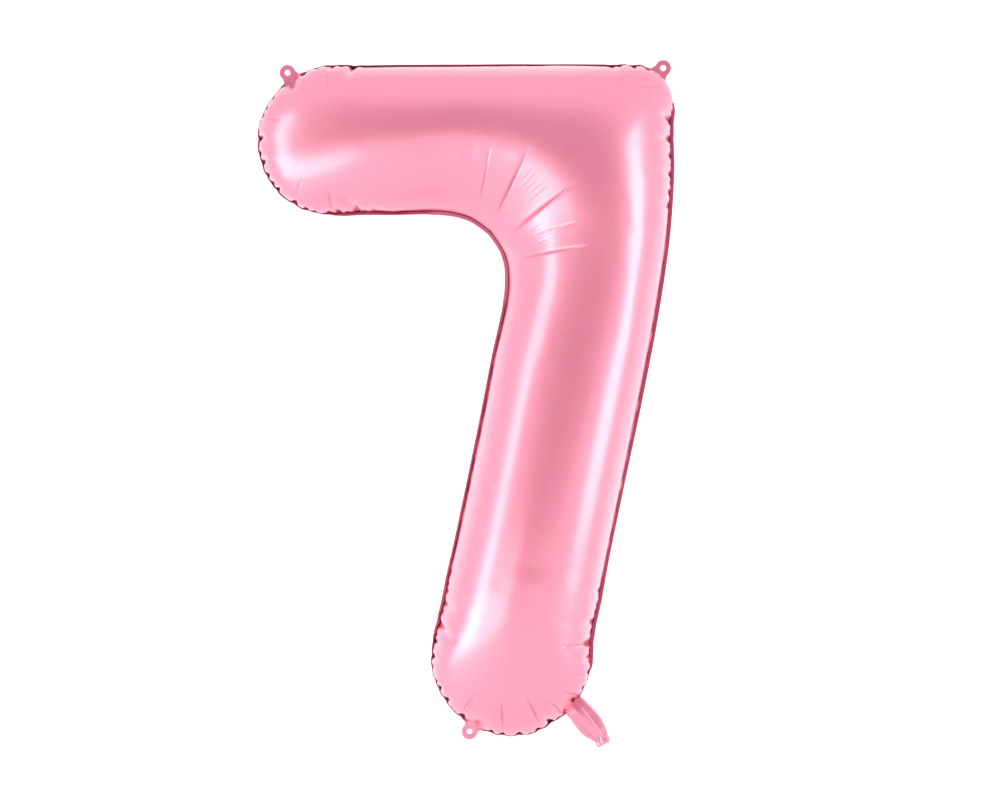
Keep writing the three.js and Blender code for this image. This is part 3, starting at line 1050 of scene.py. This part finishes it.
def add_floor():
    """A pale floor that sweeps up behind into a backdrop."""
    level, front, back, top, half_width = -1.15, -6.0, 3.2, 6.0, 7.0
    radius, steps = 1.2, 16
    profile = [(front, level), (back - radius, level)]
    for k in range(1, steps + 1):
        turn = k / steps * math.pi / 2
        profile.append((back - radius + radius * math.sin(turn),
                        level + radius * (1 - math.cos(turn))))
    profile.append((back, top))
    points = [(x, y, z) for y, z in profile for x in (-half_width, half_width)]
    faces = [(2 * k, 2 * k + 1, 2 * k + 3, 2 * k + 2) for k in range(len(profile) - 1)]
    floor = new_object("studio_floor", points, faces)
    material, tree, shader = new_material("studio_white")
    tone = ramp(tree, noise(tree, 1.5), (0.90, 0.90, 0.90), (0.93, 0.93, 0.93))
    tree.links.new(tone.outputs["Result"], shader.inputs["Base Color"])
    shader.inputs["Roughness"].default_value = 0.9
    # the backdrop glows, and the floor below the balloon doesn't
    glow = spread(tree, y_of(tree, "Object"), 0.0, 0.5, start=0.8, end=1.8,
                  interpolation_type="SMOOTHSTEP")
    tree.links.new(glow, shader.inputs["Emission Strength"])
    shader.inputs["Emission Color"].default_value = (1.0, 1.0, 1.0, 1.0)
    floor.data.materials.append(material)


SOFTBOX_COLOR = (1.0, 0.94, 0.8)
SOFTBOX_AIM = (0.04, 0.0, -0.36)  # the middle of the balloon


def add_softbox(name, turn, rise, distance, size, glow, roll=0.0):
    """A soft light in a direction: degrees to the right of the camera's side, and above level."""
    turn, rise = math.radians(turn), math.radians(rise)
    aim = Vector(SOFTBOX_AIM)
    level = math.cos(rise)
    way = Vector((math.sin(turn) * level, -math.cos(turn) * level, math.sin(rise)))
    data = bpy.data.lights.new(name, "AREA")
    data.shape = "RECTANGLE"
    data.size, data.size_y = size
    data.energy = glow * math.pi * size[0] * size[1]
    data.color = SOFTBOX_COLOR
    lamp = bpy.data.objects.new(name, data)
    lamp.visible_camera = False
    scene.collection.objects.link(lamp)
    lamp.location = aim + way * distance
    spin = Quaternion((0.0, 0.0, 1.0), math.radians(roll))
    lamp.rotation_euler = ((-way).to_track_quat("-Z", "Y") @ spin).to_euler()


def add_camera():
    """Straight in front, level with the middle of the picture."""
    distance, picture_width, sensor = 3.5, 1.147, 36.0
    middle_x, middle_z = 0.0283, -0.378
    data = bpy.data.cameras.new("camera")
    data.sensor_width = sensor
    data.lens = sensor * distance / picture_width
    camera = bpy.data.objects.new("camera", data)
    camera.location = (middle_x, -distance, middle_z)
    camera.rotation_euler = (math.pi / 2, 0, 0)
    scene.collection.objects.link(camera)
    scene.camera = camera


def light_world():
    """White all round, and dimmer towards the side that the picture is taken from."""
    world = bpy.data.worlds.new("studio")
    scene.world = world
    world.use_nodes = True
    tree = world.node_tree
    level = spread(tree, y_of(tree, "Generated"), 0.27, 1.0, start=-1.0, end=-0.5,
                   interpolation_type="SMOOTHSTEP")
    background = tree.nodes["Background"]
    background.inputs["Color"].default_value = (1.0, 1.0, 1.0, 1.0)
    tree.links.new(level, background.inputs["Strength"])


add_floor()
add_camera()
light_world()
add_softbox("softbox_right", turn=67, rise=0, distance=2.6, size=(0.9, 2.8), glow=3.1, roll=30)
add_softbox("softbox_left", turn=-62, rise=4, distance=2.6, size=(0.7, 2.4), glow=2.6)
add_softbox("softbox_low", turn=-50, rise=-17, distance=1.5, size=(1.6, 0.5), glow=2.2)
scene.view_settings.view_transform = "Standard"
